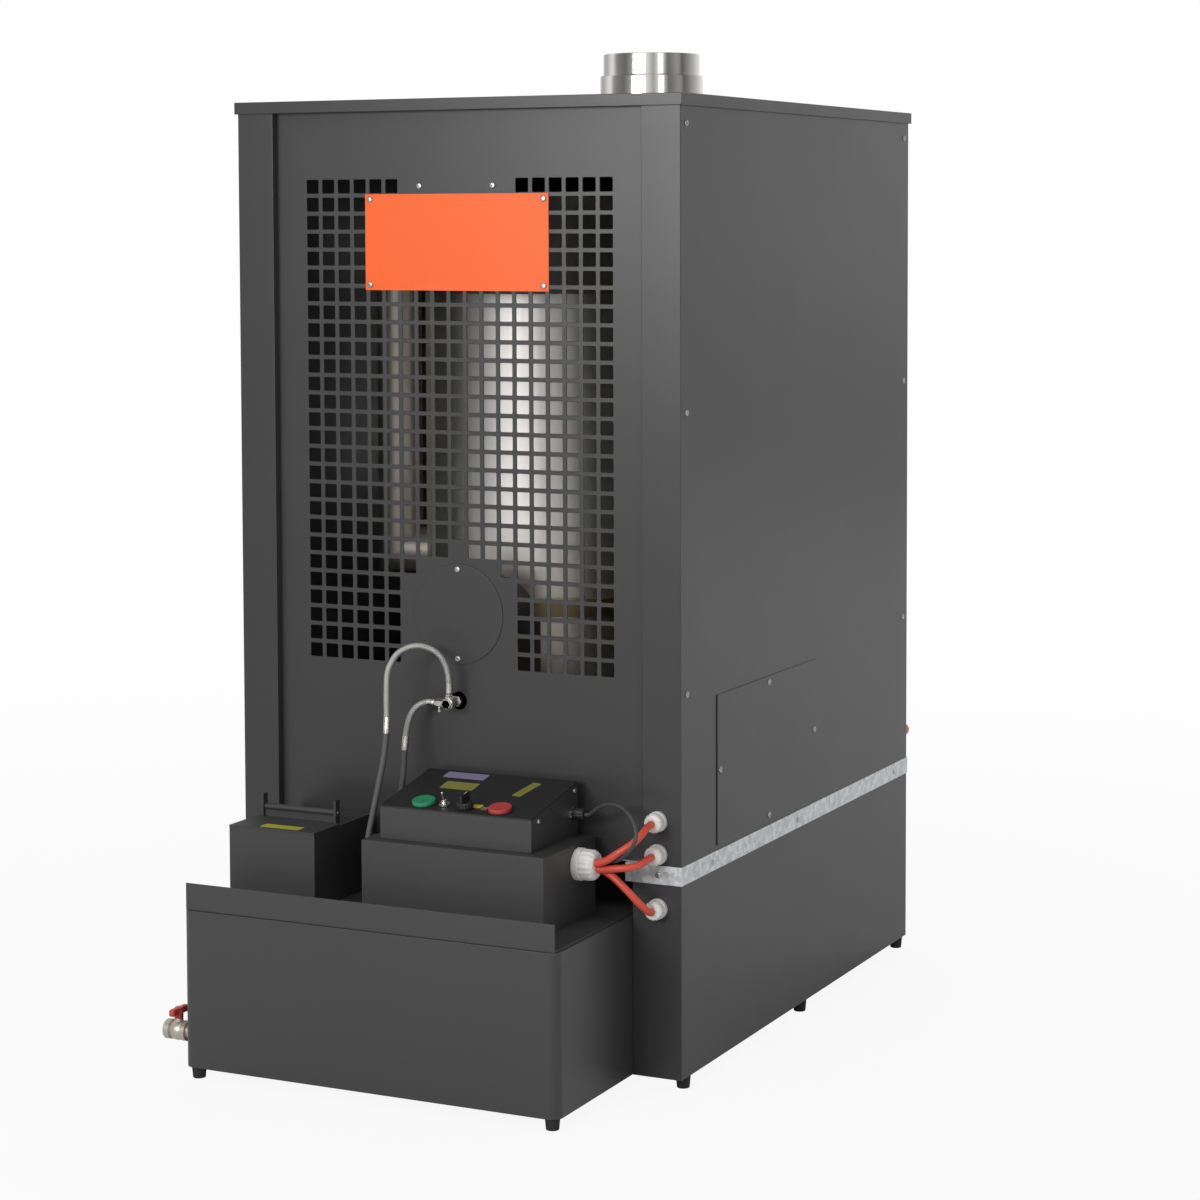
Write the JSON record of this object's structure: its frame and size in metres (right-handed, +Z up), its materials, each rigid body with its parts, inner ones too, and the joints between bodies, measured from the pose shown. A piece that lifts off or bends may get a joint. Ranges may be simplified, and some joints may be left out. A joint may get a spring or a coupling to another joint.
{
  "type": "multi-fuel space heater",
  "caption": "Free-standing sheet-metal space heater with perforated front, projecting fuel tank, sloping control box, flue stub and rear fan.",
  "frame": {"origin": "centre of the overall length and width, on the floor", "axes": "+Z up, +Y from the fuel tank to the rear fan guard, +X to the right as seen from the front"},
  "size_m": [0.546, 0.944, 1.123],
  "materials": {
    "casing": "satin",
    "galvanised": "satin",
    "plate_orange": "satin",
    "stainless": "polished",
    "hot_steel": "matt",
    "dark_iron": "matt",
    "rubber": "matt",
    "white_plastic": "satin",
    "black_plastic": "satin",
    "green_plastic": "gloss",
    "red_plastic": "gloss",
    "chromed": "polished",
    "brass": "satin",
    "circuit": "satin",
    "silicone": "satin",
    "hose": "satin",
    "aluminium": "satin"
  },
  "bodies": {
    "heater": {"base_casing": "casing", "burner_deck": "galvanised", "side_panel_left": "casing", "side_panel_right": "casing", "front_grille_panel": "casing", "rear_panel": "casing", "top_lid": "casing", "access_cover": "casing", "port_cover": "casing", "label_plate": "plate_orange", "feet": "rubber", "fuel_tank": "casing", "drip_tray": "casing", "filler_box": "casing", "filler_hinge_pin": "chromed", "filler_strainer": "stainless", "drain_valve": "chromed", "suction_pipe": "galvanised", "pump_box": "casing", "fuel_pump_body": "dark_iron", "pump_motor": "galvanised", "control_box": "casing", "control_panel": "casing", "control_board": "circuit", "panel_bushes": "black_plastic", "large_gland": "white_plastic", "small_glands": "white_plastic", "black_glands": "black_plastic", "hose_fittings": "chromed", "hose_long": "hose", "hose_short": "hose", "cable_upper": "silicone", "cable_middle": "silicone", "cable_lower": "silicone", "sensor_wire": "rubber", "combustion_chamber": "stainless", "burner_housing": "hot_steel", "burner_bowl": "dark_iron", "flame_ring": "hot_steel", "smoke_tubes": "hot_steel", "smoke_drum": "hot_steel", "flue_spigot": "stainless", "port_duct": "hot_steel", "fan_ring": "galvanised", "fan_guard": "dark_iron", "fan_motor": "dark_iron", "blower_casing": "galvanised", "blower_motor": "dark_iron", "panel_screws": "chromed"},
    "filler_lid": {"filler_lid": "casing"},
    "drain_lever": {"drain_lever": "red_plastic"},
    "start_button": {"start_button": "green_plastic"},
    "stop_button": {"stop_button": "red_plastic"},
    "selector_knob": {"selector_knob": "black_plastic"},
    "toggle_lever": {"toggle_lever": "chromed"},
    "reset_button": {"reset_button": "red_plastic"},
    "fan_blades": {"fan_blades": "aluminium"},
    "blower_impeller": {"blower_impeller": "aluminium"},
    "drive_gear": {"drive_gear": "brass"},
    "driven_gear": {"driven_gear": "brass"}
  },
  "joints": [
    {"name": "filler_lid_hinge", "type": "hinge", "parent": "heater", "child": "filler_lid", "pos_m": [-0.1565, -0.36, 0.279], "axis": [-1, 0, 0], "range_deg": [0, 95]},
    {"name": "drain_lever_turn", "type": "hinge", "parent": "heater", "child": "drain_lever", "pos_m": [-0.258, -0.449, 0.06], "axis": [0, 0, 1], "range_deg": [0, 90]},
    {"name": "start_button_press", "type": "slide", "parent": "heater", "child": "start_button", "axis": [0, 0.1892, -0.9819], "range_m": [0, 0.003], "stiffness_N_per_m": 800, "springref_m": -0.002},
    {"name": "stop_button_press", "type": "slide", "parent": "heater", "child": "stop_button", "axis": [0, 0.1892, -0.9819], "range_m": [0, 0.003], "stiffness_N_per_m": 800, "springref_m": -0.002},
    {"name": "selector_turn", "type": "hinge", "parent": "heater", "child": "selector_knob", "pos_m": [0.066, -0.39224, 0.30496], "axis": [0, -0.1892, 0.9819], "range_deg": [-45, 45]},
    {"name": "toggle_flip", "type": "hinge", "parent": "heater", "child": "toggle_lever", "pos_m": [0.04, -0.39112, 0.30976], "axis": [-1, 0, 0], "range_deg": [0, 24]},
    {"name": "reset_press", "type": "slide", "parent": "heater", "child": "reset_button", "axis": [0, -1, 0], "range_m": [0, 0.003], "stiffness_N_per_m": 800, "springref_m": -0.002},
    {"name": "fan_spin", "type": "hinge", "parent": "heater", "child": "fan_blades", "pos_m": [0, 0.386, 0.745], "axis": [0, 1, 0], "continuous": true},
    {"name": "blower_spin", "type": "hinge", "parent": "heater", "child": "blower_impeller", "pos_m": [0.167, -0.16, 0.32], "axis": [0, 0, 1], "continuous": true},
    {"name": "drive_gear_spin", "type": "hinge", "parent": "heater", "child": "drive_gear", "pos_m": [0.01, -0.356, 0.2275], "axis": [1, 0, 0], "continuous": true},
    {"name": "driven_gear_spin", "type": "hinge", "parent": "heater", "child": "driven_gear", "pos_m": [0.01, -0.356, 0.2035], "axis": [1, 0, 0], "continuous": true}
  ],
  "couplings": [
    {"joint": "driven_gear_spin", "follows": "drive_gear_spin", "ratio": -1}
  ]
}
